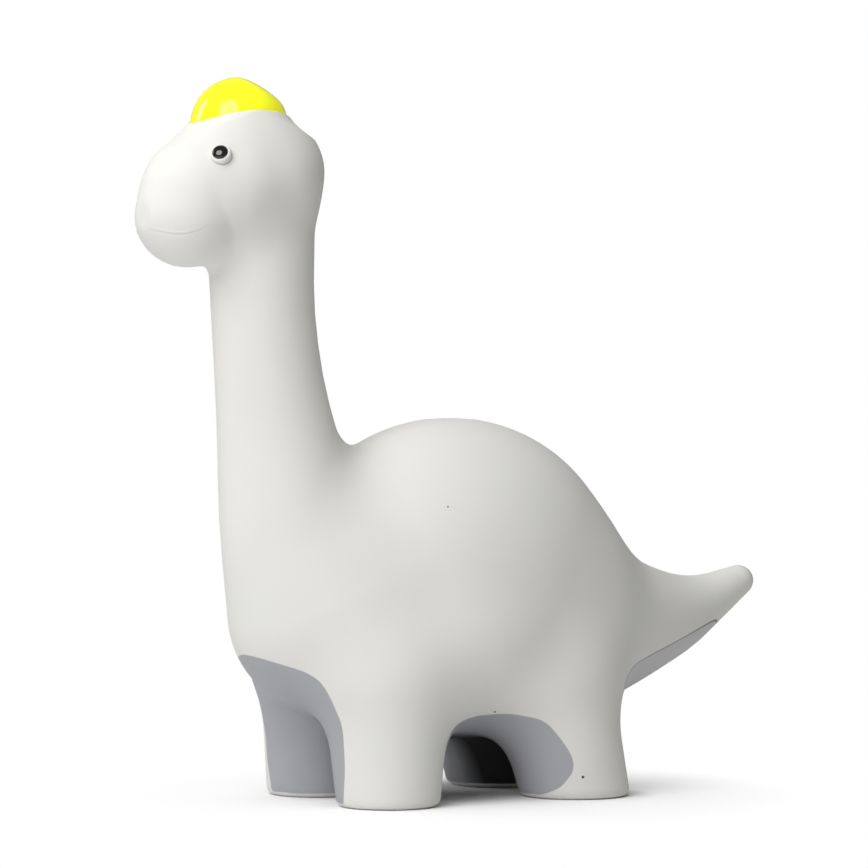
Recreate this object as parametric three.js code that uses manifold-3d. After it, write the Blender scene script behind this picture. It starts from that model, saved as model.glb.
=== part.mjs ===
// Toy dinosaur figure: a long-necked dinosaur moulded as one hollow rubber skin, with a clear
// yellow ball seated in its crown, bead eyes, a squeaker held in the belly and a fibre filling.
// Millimetres, +Z up, the head towards -Y and the toy's left side towards +X.
import * as THREE from 'three'
import { mergeVertices } from 'three/addons/utils/BufferGeometryUtils.js'
import Module from 'manifold-3d'

const wasm = await Module()
wasm.setup()

// Rubber skin
const skinWall = 2.6
const soleWall = 3.2

// Trunk, an egg carried on the legs, and the flanks that fill its lower half
const trunkLength = 100
const trunkWidth = 76
const trunkHeight = 90
const trunkBack = 1.5
const bellyClearance = 15.5
const flankLength = 79
const flankWidth = 74
const flankHeight = 46
const flankForward = 4.5
const flankUp = 44.5

// Neck, from the chest up to its top inside the head
const neckReach = 58
const neckHeight = 160
const neckRadius = 14
const neckForwardShares = [0.63, 0.83, 0.93, 0.985, 1]
const neckUpShares = [0.325, 0.49, 0.66, 0.83, 1]
const neckGirthShares = [2.01, 1.43, 1.115, 1.01, 1.06]

// Head, its rounds placed from the neck's top, and how much wider than high they are
const chinRadius = 13.5
const chinForward = 22.1
const chinDown = 0.5
const snoutRadius = 14.5
const snoutForward = 19.1
const snoutUp = 7
const cheekRadius = 16
const cheekForward = 11
const cheekUp = 6
const skullRadius = 16.5
const skullBack = 0.4
const skullUp = 12
const crownRadius = 16.7
const crownUp = 18.5
const headWidthShare = 1.15

// Crown ball and the cup that it sits in
const ballRadius = 13.25
const ballForward = 6.5
const ballUp = 24.4
const ballClearance = 0.25
const lipAboveEquator = 2.4
const lipWidth = 0.4

// How the crown falls away round the cup's lip, steeply at the collar and then less, and how much
// more than its thickness the wall measures straight down there
const collarWidth = 1.6
const collarDrop = 2.2
const browWidth = 10
const browDrop = 7.6
const slopeThickening = 1.3

// Tail, from inside the rump to its tip
const tailReach = 99.5
const tailTipHeight = 58
const tailRootRadius = 28.2
const tailBackShares = [0.335, 0.55, 0.724, 0.864, 1]
const tailUpShares = [0.82, 0.81, 0.83, 0.895, 1]
const tailGirthShares = [1, 0.69, 0.455, 0.28, 0.16]
const tailHollowShare = 0.84

// Legs, from the hip down to the floor
const footSpread = 20.5
const hipSpread = 18.5
const hipHeight = 30
const frontFootRadius = 14
const frontFootForward = 29.5
const frontHipRadius = 17
const frontHipForward = 29
const rearFootRadius = 15
const rearFootBack = 30.5
const rearHipRadius = 17
const rearHipBack = 24

// How softly the forms run into each other
const flankBlend = 8
const neckRootBlend = 13
const jawBlend = 6
const crownBlend = 5
const tailBlend = 14
const hipBlend = 14
const innerHipBlend = 6

// Links of a limb between two of its stations, and how the smooth curve through them turns
const stationLinks = 3
const curveTension = 0.5

// Mesh steps of the outside, the tail's end and the inside, and how far a cut runs past what it cuts
const skinStep = 5.4
const tailEndStep = 2.4
const cavityStep = 8
const overrun = 400
const cutMargin = 5

// Gaps: between parts that are cut by each other, and round each wad of fibre
const fitGap = 0.3
const fibreGap = 0.5

// Eyes, a bead pushed into a recess of the skin and a drop-shaped pupil in the bead
const eyeForward = 19.4
const eyeUp = 15.2
const eyeTurnForward = 0.28
const eyeTurnUp = 0.15
const eyeRadius = 2.9
const eyeSeatDepth = 1.2
const eyeRise = 1.3
const eyeEdgeRise = 0.6
const pupilRadius = 2.1
const pupilSink = 0.6
const pupilRise = 1

// Squeaker, from the belly's mouth upwards
const mouthRadius = 7
const mouthLip = 2.2
const squeakerRadius = 10
const squeakerWall = 1.3
const grilleThickness = 1.2
const grilleHoleRadius = 1.1
const grilleHoleCircle = 4.4
const grilleHoleCount = 6
const ledgeWidth = 1.5
const ledgeThickness = 1
const reedBlockThickness = 2.4
const reedThickness = 0.3
const reedWidth = 3.2
const reedRootLength = 3
const reedFreeLength = 8
const reedSideGap = 0.35
const clampThickness = 0.9
const clampLegWidth = 1.2
const housingRim = 0.5

// Where the fibre filling is split into the wads that are pushed in one after another
const headSplitShare = 0.92
const tailSplitShare = 0.62
const footSplitDrop = 0.5

// Facets round turned pieces
const ballFacets = 28
const ballRings = 14
const turnedFacets = 32
const smallFacets = 20
const eyeRings = 4

const colours = {
  skin: 0xdcd9d2,
  ball: 0xe6f20a,
  bead: 0xf0eee8,
  pupil: 0x0a0a0a,
  fibre: 0xf4f2ec,
  plastic: 0xe8e8e4,
  brass: 0xc9a45a,
}

// Distance functions of the forms that the body is blended from
function softUnion(a, b, blend) {
  const mix = THREE.MathUtils.clamp(0.5 + (0.5 * (b - a)) / blend, 0, 1)
  return THREE.MathUtils.lerp(b, a, mix) - blend * mix * (1 - mix)
}

function ballDistance(point, ball) {
  return point.distanceTo(ball.centre) - ball.radius
}

function eggDistance(point, egg) {
  const local = point.clone().sub(egg.centre)
  const near = local.clone().divide(egg.radii).length()
  const slope = local.divide(egg.radii.clone().multiply(egg.radii)).length()
  return slope > 0 ? (near * (near - 1)) / slope : -Math.min(...egg.radii.toArray())
}

function taperDistance(point, start, end) {
  const axis = end.centre.clone().sub(start.centre)
  const offset = point.clone().sub(start.centre)
  const lengthSquared = axis.lengthSq()
  const drop = start.radius - end.radius
  const slant = lengthSquared - drop * drop
  const along = offset.dot(axis)
  const past = along - lengthSquared
  const across = offset.multiplyScalar(lengthSquared).addScaledVector(axis, -along).lengthSq()
  const alongTerm = along * along * lengthSquared
  const pastTerm = past * past * lengthSquared
  const side = Math.sign(drop) * drop * drop * across
  if (Math.sign(past) * slant * pastTerm > side) {
    return Math.sqrt(across + pastTerm) / lengthSquared - end.radius
  }
  if (Math.sign(along) * slant * alongTerm < side) {
    return Math.sqrt(across + alongTerm) / lengthSquared - start.radius
  }
  return (Math.sqrt((across * slant) / lengthSquared) + along * drop) / lengthSquared - start.radius
}

function chainDistance(point, stations) {
  let distance = Infinity
  for (let i = 1; i < stations.length; i++) {
    distance = Math.min(distance, taperDistance(point, stations[i - 1], stations[i]))
  }
  return distance
}

function form(x, y, z, radius) {
  return { centre: new THREE.Vector3(x, y, z), radius }
}

// More stations, on the smooth curve through a few given ones
function smoothed(stations) {
  const curveThrough = (points) => new THREE.CatmullRomCurve3(points, false, 'catmullrom', curveTension)
  const centres = curveThrough(stations.map(({ centre }) => centre))
  const radii = curveThrough(stations.map(({ radius }) => new THREE.Vector3(radius, 0, 0)))
  const links = (stations.length - 1) * stationLinks
  const smooth = []
  for (let link = 0; link <= links; link++) {
    smooth.push({ centre: centres.getPoint(link / links), radius: radii.getPoint(link / links).x })
  }
  return smooth
}

// The body's forms
const trunk = {
  centre: new THREE.Vector3(0, trunkBack, bellyClearance + trunkHeight / 2),
  radii: new THREE.Vector3(trunkWidth / 2, trunkLength / 2, trunkHeight / 2),
}
const flanks = {
  centre: new THREE.Vector3(0, -flankForward, flankUp),
  radii: new THREE.Vector3(flankWidth / 2, flankLength / 2, flankHeight / 2),
}
const neckStations = smoothed(neckForwardShares.map((share, i) =>
  form(0, -share * neckReach, neckUpShares[i] * neckHeight, neckGirthShares[i] * neckRadius)))
const neckTop = neckStations.at(-1).centre
const tailStations = smoothed(tailBackShares.map((share, i) =>
  form(0, share * tailReach, tailUpShares[i] * tailTipHeight, tailGirthShares[i] * tailRootRadius)))
const headStations = smoothed([
  form(0, neckTop.y - chinForward, neckTop.z - chinDown, chinRadius),
  form(0, neckTop.y - snoutForward, neckTop.z + snoutUp, snoutRadius),
  form(0, neckTop.y - cheekForward, neckTop.z + cheekUp, cheekRadius),
  form(0, neckTop.y + skullBack, neckTop.z + skullUp, skullRadius),
])
const crown = form(0, neckTop.y - ballForward, neckTop.z + crownUp, crownRadius)
const ball = form(0, neckTop.y - ballForward, neckTop.z + ballUp, ballRadius)
const frontHip = form(hipSpread, -frontHipForward, hipHeight, frontHipRadius)
const frontFoot = form(footSpread, -frontFootForward, 0, frontFootRadius)
const rearHip = form(hipSpread, rearHipBack, hipHeight, rearHipRadius)
const rearFoot = form(footSpread, rearFootBack, 0, rearFootRadius)

function bodyDistance(worldPoint) {
  const point = worldPoint.clone()
  point.x = Math.abs(point.x)
  const slim = point.clone()
  slim.x /= headWidthShare
  const head = softUnion(chainDistance(slim, headStations), ballDistance(point, crown), crownBlend)
  const legs = Math.min(taperDistance(point, frontHip, frontFoot), taperDistance(point, rearHip, rearFoot))
  let distance = softUnion(eggDistance(point, trunk), eggDistance(point, flanks), flankBlend)
  distance = softUnion(distance, chainDistance(point, neckStations), neckRootBlend)
  distance = softUnion(distance, head, jawBlend)
  distance = softUnion(distance, chainDistance(point, tailStations), tailBlend)
  const outwardShare = Math.min(point.x / footSpread, 1)
  return softUnion(distance, legs, THREE.MathUtils.lerp(innerHipBlend, hipBlend, outwardShare))
}

function cavityDistance(point) {
  return bodyDistance(point) + skinWall
}

function bodyBox(margin) {
  const box = new THREE.Box3()
  const rounds = [...neckStations, ...headStations, ...tailStations]
  rounds.push(crown, frontHip, frontFoot, rearHip, rearFoot)
  for (const { centre, radius } of rounds) {
    box.expandByPoint(centre.clone().addScalar(radius))
    box.expandByPoint(centre.clone().addScalar(-radius))
  }
  for (const { centre, radii } of [trunk, flanks]) {
    box.expandByPoint(centre.clone().add(radii))
    box.expandByPoint(centre.clone().sub(radii))
  }
  box.expandByScalar(margin)
  const halfWidth = Math.ceil(box.max.x / margin) * margin
  box.min.x = -halfWidth
  box.max.x = halfWidth
  return box
}

// The direction in which a distance function grows, scaled by how fast it does
function slopeAt(distance, point, step) {
  const slope = new THREE.Vector3()
  for (const axis of ['x', 'y', 'z']) {
    const ahead = point.clone()
    const behind = point.clone()
    ahead[axis] += step
    behind[axis] -= step
    slope[axis] = (distance(ahead) - distance(behind)) / (2 * step)
  }
  return slope
}

// A closed mesh of the surface where a distance function is zero: one vertex in each cell of a
// grid that the surface crosses, settled onto the surface, and a face round each crossed edge
function surfaceOf(distance, box, step) {
  const probe = step / 100
  const size = box.getSize(new THREE.Vector3())
  const counts = size.toArray().map((length) => Math.ceil(length / step) + 1)
  const [nx, ny, nz] = counts
  const indexAt = (i, j, k) => i + nx * (j + ny * k)
  const pointAt = (i, j, k) => new THREE.Vector3(i, j, k).multiplyScalar(step).add(box.min)
  const values = new Float64Array(nx * ny * nz)
  for (let k = 0; k < nz; k++) {
    for (let j = 0; j < ny; j++) {
      for (let i = 0; i < nx; i++) {
        values[indexAt(i, j, k)] = distance(pointAt(i, j, k))
      }
    }
  }

  const corners = []
  for (let c = 0; c < 8; c++) {
    corners.push([c & 1, (c >> 1) & 1, (c >> 2) & 1])
  }
  const positions = []
  const vertexOf = new Int32Array(nx * ny * nz).fill(-1)
  for (let k = 0; k < nz - 1; k++) {
    for (let j = 0; j < ny - 1; j++) {
      for (let i = 0; i < nx - 1; i++) {
        const crossings = []
        for (let c = 0; c < 8; c++) {
          for (const bit of [1, 2, 4]) {
            const other = c | bit
            if (other === c) continue
            const [a, b] = [corners[c], corners[other]]
            const valueA = values[indexAt(i + a[0], j + a[1], k + a[2])]
            const valueB = values[indexAt(i + b[0], j + b[1], k + b[2])]
            if (valueA < 0 === valueB < 0) continue
            const start = pointAt(i + a[0], j + a[1], k + a[2])
            const end = pointAt(i + b[0], j + b[1], k + b[2])
            crossings.push(start.lerp(end, valueA / (valueA - valueB)))
          }
        }
        if (crossings.length === 0) continue
        const vertex = new THREE.Vector3()
        crossings.forEach((crossing) => vertex.add(crossing))
        vertex.divideScalar(crossings.length)
        const slope = slopeAt(distance, vertex, probe)
        vertex.addScaledVector(slope, -distance(vertex) / slope.lengthSq())
        vertexOf[indexAt(i, j, k)] = positions.length / 3
        positions.push(...vertex.toArray())
      }
    }
  }

  const indices = []
  const vertexAt = (index) => new THREE.Vector3().fromArray(positions, 3 * index)
  const addQuad = (a, b, c, d) => {
    const firstIsShorter = vertexAt(a).distanceTo(vertexAt(c)) <= vertexAt(b).distanceTo(vertexAt(d))
    indices.push(...(firstIsShorter ? [a, b, c, a, c, d] : [b, c, d, b, d, a]))
  }
  const strides = [1, nx, nx * ny]
  for (let k = 1; k < nz - 1; k++) {
    for (let j = 1; j < ny - 1; j++) {
      for (let i = 1; i < nx - 1; i++) {
        const here = indexAt(i, j, k)
        for (let axis = 0; axis < 3; axis++) {
          const insideHere = values[here] < 0
          if (insideHere === values[here + strides[axis]] < 0) continue
          const u = strides[(axis + 1) % 3]
          const v = strides[(axis + 2) % 3]
          const ring = [here - u - v, here - v, here, here - u].map((cell) => vertexOf[cell])
          addQuad(...(insideHere ? ring : ring.reverse()))
        }
      }
    }
  }
  const geometry = new THREE.BufferGeometry()
  geometry.setAttribute('position', new THREE.Float32BufferAttribute(positions, 3))
  geometry.setIndex(indices)
  return geometry
}

// The same mesh with each vertex drawn inwards by a gap
function shrunk(geometry, distance, gap, step) {
  const inner = geometry.clone()
  const position = inner.getAttribute('position')
  const vertex = new THREE.Vector3()
  for (let i = 0; i < position.count; i++) {
    vertex.fromBufferAttribute(position, i)
    vertex.addScaledVector(slopeAt(distance, vertex, step / 100).normalize(), -gap)
    position.setXYZ(i, ...vertex.toArray())
  }
  return inner
}

// Closed meshes to solids and back
function solidOf(geometry) {
  const bare = geometry.clone()
  bare.deleteAttribute('normal')
  bare.deleteAttribute('uv')
  const merged = mergeVertices(bare)
  const index = merged.getIndex().array
  const triangles = []
  for (let i = 0; i < index.length; i += 3) {
    const [a, b, c] = index.slice(i, i + 3)
    if (a !== b && b !== c && c !== a) triangles.push(a, b, c)
  }
  return new wasm.Manifold(new wasm.Mesh({
    numProp: 3,
    vertProperties: new Float32Array(merged.getAttribute('position').array),
    triVerts: new Uint32Array(triangles),
  }))
}

function geometryOf(solid) {
  const mesh = solid.getMesh()
  const geometry = new THREE.BufferGeometry()
  geometry.setAttribute('position', new THREE.Float32BufferAttribute(mesh.vertProperties, 3))
  geometry.setIndex(Array.from(mesh.triVerts))
  return geometry
}

function turned(profile, facets) {
  const points = profile.map(([radius, height]) => new THREE.Vector2(radius, height))
  return new THREE.LatheGeometry(points, facets).rotateX(Math.PI / 2)
}

// Profile points of an arc about the origin, from its lowest point up through a sweep
function arcProfile(radius, sweep) {
  const rings = Math.round((ballRings * sweep) / Math.PI)
  const points = []
  for (let ring = 0; ring <= rings; ring++) {
    const angle = (sweep * ring) / rings
    points.push([radius * Math.sin(angle), -radius * Math.cos(angle)])
  }
  return points
}

function disc(radius, low, high, facets) {
  return turned([[0, low], [radius, low], [radius, high], [0, high]], facets)
}

function block(low, high) {
  const size = high.clone().sub(low)
  const middle = high.clone().add(low).divideScalar(2)
  return new THREE.BoxGeometry(...size.toArray()).translate(...middle.toArray())
}

const socketRadius = ballRadius + ballClearance

// Squeaker heights, each from the piece below it
const pocketFloor = bellyClearance + mouthLip
const housingLow = pocketFloor + fitGap
const grilleLow = housingLow + fitGap
const ledgeLow = grilleLow + grilleThickness + fitGap
const ledgeHigh = ledgeLow + ledgeThickness
const reedBlockLow = ledgeHigh + fitGap
const reedBlockHigh = reedBlockLow + reedBlockThickness
const reedLow = reedBlockHigh + fitGap
const reedHigh = reedLow + reedThickness
const clampLow = reedHigh + fitGap
const clampHigh = clampLow + clampThickness
const housingHigh = clampHigh + housingRim
const pocketRadius = squeakerRadius + fitGap
const bossRadius = pocketRadius + skinWall
const bossHigh = housingHigh + fitGap
const housingBore = squeakerRadius - squeakerWall
const insertRadius = housingBore - fitGap

// The reed's hinge line, with its free length in the middle of the slot
const reedHingeY = trunkBack - reedFreeLength / 2

// The places of both eyes on the head, each with the direction in which it looks
function eyePlace(side) {
  const point = new THREE.Vector3(0, neckTop.y - eyeForward, neckTop.z + eyeUp)
  let inside = 0
  let outside = side * (snoutRadius + skullRadius)
  for (let pass = 0; pass < 40; pass++) {
    point.x = (inside + outside) / 2
    if (bodyDistance(point) < 0) inside = point.x
    else outside = point.x
  }
  const outwards = slopeAt(bodyDistance, point, eyeRadius / 100).normalize()
  outwards.add(new THREE.Vector3(0, -eyeTurnForward, eyeTurnUp)).normalize()
  const turn = new THREE.Quaternion().setFromUnitVectors(new THREE.Vector3(0, 0, 1), outwards)
  return { point, turn }
}

function eyeBead() {
  const sinkRadius = pupilRadius + fitGap
  const beadLow = fitGap - eyeSeatDepth
  const bead = turned([
    [0, beadLow],
    [eyeRadius, beadLow],
    [eyeRadius, eyeEdgeRise],
    [sinkRadius, eyeRise],
    [0, eyeRise],
  ], smallFacets)
  const sink = disc(sinkRadius, eyeRise - pupilSink, eyeRise + cutMargin, smallFacets)
  return solidOf(bead).subtract(solidOf(sink))
}

function eyePupil() {
  const low = eyeRise - pupilSink + fitGap
  const profile = [[0, low], [pupilRadius, low]]
  for (let ring = 0; ring <= eyeRings; ring++) {
    const angle = (Math.PI / 2) * (ring / eyeRings)
    profile.push([pupilRadius * Math.cos(angle), eyeRise + pupilRise * Math.sin(angle)])
  }
  return solidOf(turned(profile, smallFacets))
}

// Body skin: the blended outside, less its soles, crown cup, cavity, squeaker pocket and eye seats
const cavityMesh = surfaceOf(cavityDistance, bodyBox(cavityStep), cavityStep)
const everywhere = new THREE.Box3(
  new THREE.Vector3(-overrun, -overrun, -overrun),
  new THREE.Vector3(overrun, overrun, overrun),
)

// All of space on one side of a plane across an axis
function spaceBelow(axis, level) {
  const box = everywhere.clone()
  box.max[axis] = level
  return solidOf(block(box.min, box.max))
}

function spaceAbove(axis, level) {
  const box = everywhere.clone()
  box.min[axis] = level
  return solidOf(block(box.min, box.max))
}

// All that lies over the crown: over the cup's lip, the steep collar round it and the brow
function aboveCrown(drop) {
  const lipRadius = socketRadius + lipWidth
  const collarLow = lipAboveEquator - collarDrop
  const cut = turned([
    [0, lipAboveEquator],
    [lipRadius, lipAboveEquator],
    [lipRadius + collarWidth, collarLow],
    [lipRadius + collarWidth + browWidth, collarLow - browDrop],
    [lipRadius + collarWidth + browWidth, 2 * ballRadius],
    [0, 2 * ballRadius],
  ], ballFacets)
  return solidOf(cut.translate(...ball.centre.toArray()).translate(0, 0, -drop))
}

// A shape drawn from the cavity, kept off the soles, the solid tail end, the crown, the wall round
// the ball's cup and the boss round the squeaker
function hollowOf(mesh, gap) {
  const cupWall = turned(arcProfile(socketRadius + skinWall + gap, Math.PI), ballFacets)
  const boss = disc(bossRadius + gap, -cutMargin, bossHigh + gap, turnedFacets)
  return solidOf(mesh)
    .subtract(spaceBelow('z', soleWall + gap))
    .subtract(spaceAbove('y', tailHollowShare * tailReach - gap))
    .subtract(aboveCrown(skinWall * slopeThickening + gap))
    .subtract(solidOf(cupWall.translate(...ball.centre.toArray())))
    .subtract(solidOf(boss.translate(0, trunkBack, 0)))
}

// The whole outside, with a finer mesh for the tail's slender end
function outsideSolid() {
  const reach = new THREE.Vector3().setScalar(2 * tailRootRadius)
  const endBox = new THREE.Box3().setFromCenterAndSize(tailStations.at(-1).centre, reach)
  const endStart = tailHollowShare * tailReach
  const endDistance = (point) => Math.max(bodyDistance(point), endStart - point.y)
  const end = solidOf(surfaceOf(endDistance, endBox, tailEndStep))
  const rest = solidOf(surfaceOf(bodyDistance, bodyBox(skinStep), skinStep))
  return rest.subtract(spaceAbove('y', endStart + tailEndStep)).add(end)
}

function bodySkin() {
  const cupProfile = arcProfile(socketRadius, Math.PI / 2)
  cupProfile.push([socketRadius, lipAboveEquator + cutMargin], [0, lipAboveEquator + cutMargin])
  const socket = solidOf(turned(cupProfile, ballFacets).translate(...ball.centre.toArray()))
  const pocket = solidOf(turned([
    [0, -cutMargin],
    [mouthRadius, -cutMargin],
    [mouthRadius, pocketFloor],
    [pocketRadius, pocketFloor],
    [pocketRadius, bossHigh + cutMargin],
    [0, bossHigh + cutMargin],
  ], turnedFacets).translate(0, trunkBack, 0))
  let skin = outsideSolid().subtract(spaceBelow('z', 0))
  skin = skin.subtract(aboveCrown(0)).subtract(socket)
  skin = skin.subtract(hollowOf(cavityMesh, 0)).subtract(pocket)
  for (const side of [1, -1]) {
    const { point, turn } = eyePlace(side)
    const seat = disc(eyeRadius + fitGap, -eyeSeatDepth, cutMargin, smallFacets)
    skin = skin.subtract(solidOf(seat.applyQuaternion(turn).translate(...point.toArray())))
  }
  return skin
}

function crownBall() {
  const profile = arcProfile(ballRadius, Math.PI)
  return solidOf(turned(profile, ballFacets).translate(...ball.centre.toArray()))
}

// Fibre filling: the cavity's shape drawn in by a gap, split into wads with the same gap between
const headSplit = headSplitShare * neckHeight
const chestSplit = bellyClearance + trunkHeight
const tailSplit = tailSplitShare * tailReach
const footSplit = bellyClearance - footSplitDrop

function fibreWads() {
  const filling = hollowOf(shrunk(cavityMesh, cavityDistance, fibreGap, cavityStep), fibreGap)
  const half = fibreGap / 2
  const upper = filling.intersect(spaceAbove('z', chestSplit + half))
  const middle = filling.intersect(spaceAbove('z', footSplit + half))
    .intersect(spaceBelow('z', chestSplit - half))
  const lower = filling.intersect(spaceBelow('z', footSplit - half))
  const wads = {
    fibre_head: upper.intersect(spaceAbove('z', headSplit + half)),
    fibre_neck: upper.intersect(spaceBelow('z', headSplit - half)),
    fibre_trunk: middle.intersect(spaceBelow('y', tailSplit - half)),
    fibre_tail: middle.intersect(spaceAbove('y', tailSplit + half)),
  }
  for (const [end, ofEnd] of [['front', spaceBelow], ['rear', spaceAbove]]) {
    for (const [side, ofSide] of [['left', spaceAbove], ['right', spaceBelow]]) {
      wads[`fibre_${end}_${side}_foot`] = lower.intersect(ofEnd('y', trunkBack)).intersect(ofSide('x', 0))
    }
  }
  return wads
}

// Squeaker pieces, about the vertical axis through the belly's mouth
function squeakerHousing() {
  const ledgeRadius = housingBore - ledgeWidth
  return solidOf(turned([
    [housingBore, housingLow],
    [squeakerRadius, housingLow],
    [squeakerRadius, housingHigh],
    [housingBore, housingHigh],
    [housingBore, ledgeHigh],
    [ledgeRadius, ledgeHigh],
    [ledgeRadius, ledgeLow],
    [housingBore, ledgeLow],
    [housingBore, housingLow],
  ], turnedFacets).translate(0, trunkBack, 0))
}

function squeakerGrille() {
  const outline = new THREE.Shape().absarc(0, 0, insertRadius, 0, 2 * Math.PI)
  outline.holes.push(new THREE.Path().absarc(0, 0, grilleHoleRadius, 0, 2 * Math.PI))
  for (let hole = 0; hole < grilleHoleCount; hole++) {
    const angle = (2 * Math.PI * hole) / grilleHoleCount
    const x = grilleHoleCircle * Math.cos(angle)
    const y = grilleHoleCircle * Math.sin(angle)
    outline.holes.push(new THREE.Path().absarc(x, y, grilleHoleRadius, 0, 2 * Math.PI))
  }
  const options = { depth: grilleThickness, bevelEnabled: false, curveSegments: smallFacets / 2 }
  return solidOf(new THREE.ExtrudeGeometry(outline, options).translate(0, trunkBack, grilleLow))
}

function reedBlock() {
  const plate = disc(insertRadius, reedBlockLow, reedBlockHigh, turnedFacets).translate(0, trunkBack, 0)
  const halfSlot = reedWidth / 2 + reedSideGap
  const slot = block(
    new THREE.Vector3(-halfSlot, reedHingeY, reedBlockLow - cutMargin),
    new THREE.Vector3(halfSlot, reedHingeY + reedFreeLength + reedSideGap, reedBlockHigh + cutMargin),
  )
  return solidOf(plate).subtract(solidOf(slot))
}

function reedTongue() {
  return solidOf(block(
    new THREE.Vector3(-reedWidth / 2, reedHingeY - reedRootLength, reedLow),
    new THREE.Vector3(reedWidth / 2, reedHingeY + reedFreeLength, reedHigh),
  ))
}

function reedClamp() {
  const inner = reedWidth / 2 + reedSideGap
  const outer = inner + clampLegWidth
  const low = reedBlockHigh + fitGap
  const outline = new THREE.Shape([
    new THREE.Vector2(-outer, low),
    new THREE.Vector2(-inner, low),
    new THREE.Vector2(-inner, clampLow),
    new THREE.Vector2(inner, clampLow),
    new THREE.Vector2(inner, low),
    new THREE.Vector2(outer, low),
    new THREE.Vector2(outer, clampHigh),
    new THREE.Vector2(-outer, clampHigh),
  ])
  const bar = new THREE.ExtrudeGeometry(outline, { depth: reedRootLength, bevelEnabled: false })
  return solidOf(bar.rotateX(Math.PI / 2).translate(0, reedHingeY, 0))
}

// The assembly
const figure = new THREE.Group()

function add(name, solid, color, roughness, metalness = 0) {
  const material = new THREE.MeshStandardMaterial({ color, roughness, metalness })
  const mesh = new THREE.Mesh(geometryOf(solid), material)
  mesh.name = name
  figure.add(mesh)
  return mesh
}

add('body_skin', bodySkin(), colours.skin, 0.85)
add('crown_ball', crownBall(), colours.ball, 0.12)
for (const [side, sign] of [['left', 1], ['right', -1]]) {
  const { point, turn } = eyePlace(sign)
  const bead = add(`eye_bead_${side}`, eyeBead(), colours.bead, 0.5)
  const pupil = add(`eye_pupil_${side}`, eyePupil(), colours.pupil, 0.08)
  for (const mesh of [bead, pupil]) {
    mesh.position.copy(point)
    mesh.quaternion.copy(turn)
  }
}
for (const [name, wad] of Object.entries(fibreWads())) {
  add(name, wad, colours.fibre, 0.95)
}
add('squeaker_housing', squeakerHousing(), colours.plastic, 0.4)
add('squeaker_grille', squeakerGrille(), colours.plastic, 0.4)
add('squeaker_reed_block', reedBlock(), colours.plastic, 0.4)
add('squeaker_reed_clamp', reedClamp(), colours.plastic, 0.4)
add('squeaker_reed', reedTongue(), colours.brass, 0.3, 1)

// The origin stands on the floor below the middle of the whole figure
const extent = new THREE.Box3().setFromObject(figure)
figure.position.y = -(extent.min.y + extent.max.y) / 2

export default figure
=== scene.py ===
"""A long-necked toy dinosaur of hollow moulded rubber, with a clear yellow ball seated in its
crown, bead eyes, brushed grey paint below, and a squeaker and a fibre filling inside."""

import itertools
import math

import bmesh
import bpy
import numpy as np
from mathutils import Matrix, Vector, noise


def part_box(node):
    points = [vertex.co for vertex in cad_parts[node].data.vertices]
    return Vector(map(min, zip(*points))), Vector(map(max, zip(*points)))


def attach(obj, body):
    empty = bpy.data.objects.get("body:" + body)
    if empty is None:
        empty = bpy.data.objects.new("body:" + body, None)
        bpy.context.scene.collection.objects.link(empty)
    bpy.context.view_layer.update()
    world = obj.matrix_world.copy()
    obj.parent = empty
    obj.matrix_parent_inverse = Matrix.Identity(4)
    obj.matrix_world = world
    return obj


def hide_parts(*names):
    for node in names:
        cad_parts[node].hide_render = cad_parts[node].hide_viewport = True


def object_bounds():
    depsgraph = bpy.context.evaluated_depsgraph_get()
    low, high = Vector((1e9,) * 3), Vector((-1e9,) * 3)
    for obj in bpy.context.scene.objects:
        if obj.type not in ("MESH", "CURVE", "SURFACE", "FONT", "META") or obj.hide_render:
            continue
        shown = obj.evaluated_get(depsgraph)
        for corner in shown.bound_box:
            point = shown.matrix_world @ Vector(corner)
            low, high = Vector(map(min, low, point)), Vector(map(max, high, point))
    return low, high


bl_info = {
    "name": "Toy Dinosaur",
    "version": (1, 0, 0),
    "blender": (4, 5, 0),
    "location": "View3D > Sidebar > Toy Dinosaur",
    "description": "Makes a rubber toy dinosaur with a ball in its crown",
    "category": "Add Mesh",
}

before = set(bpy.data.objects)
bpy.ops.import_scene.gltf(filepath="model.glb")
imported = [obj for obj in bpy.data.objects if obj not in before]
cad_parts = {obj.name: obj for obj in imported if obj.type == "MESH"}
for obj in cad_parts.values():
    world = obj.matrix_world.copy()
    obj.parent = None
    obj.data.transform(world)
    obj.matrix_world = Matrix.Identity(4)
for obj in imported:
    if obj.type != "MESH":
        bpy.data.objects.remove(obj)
CAD_LOW, CAD_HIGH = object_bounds()

MM = 0.001
UP = 2
UPWARDS = Vector((0, 0, 1))
TINY = 1e-9

# The body's forms, as the solid model blends them, measured from the middle of the feet
TRUNK_LENGTH, TRUNK_WIDTH, TRUNK_HEIGHT = 100 * MM, 76 * MM, 90 * MM
TRUNK_BACK = 1.5 * MM
BELLY_CLEARANCE = 15.5 * MM
FLANK_LENGTH, FLANK_WIDTH, FLANK_HEIGHT = 79 * MM, 74 * MM, 46 * MM
FLANK_FORWARD = 4.5 * MM
FLANK_UP = 44.5 * MM
NECK_REACH = 58 * MM
NECK_HEIGHT = 160 * MM
NECK_RADIUS = 14 * MM
NECK_FORWARD_SHARES = (0.63, 0.83, 0.93, 0.985, 1)
NECK_UP_SHARES = (0.325, 0.49, 0.66, 0.83, 1)
NECK_GIRTH_SHARES = (2.01, 1.43, 1.115, 1.01, 1.06)
CHIN_RADIUS, CHIN_FORWARD, CHIN_DOWN = 13.5 * MM, 22.1 * MM, 0.5 * MM
SNOUT_RADIUS, SNOUT_FORWARD, SNOUT_UP = 14.5 * MM, 19.1 * MM, 7 * MM
CHEEK_RADIUS, CHEEK_FORWARD, CHEEK_UP = 16 * MM, 11 * MM, 6 * MM
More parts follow.
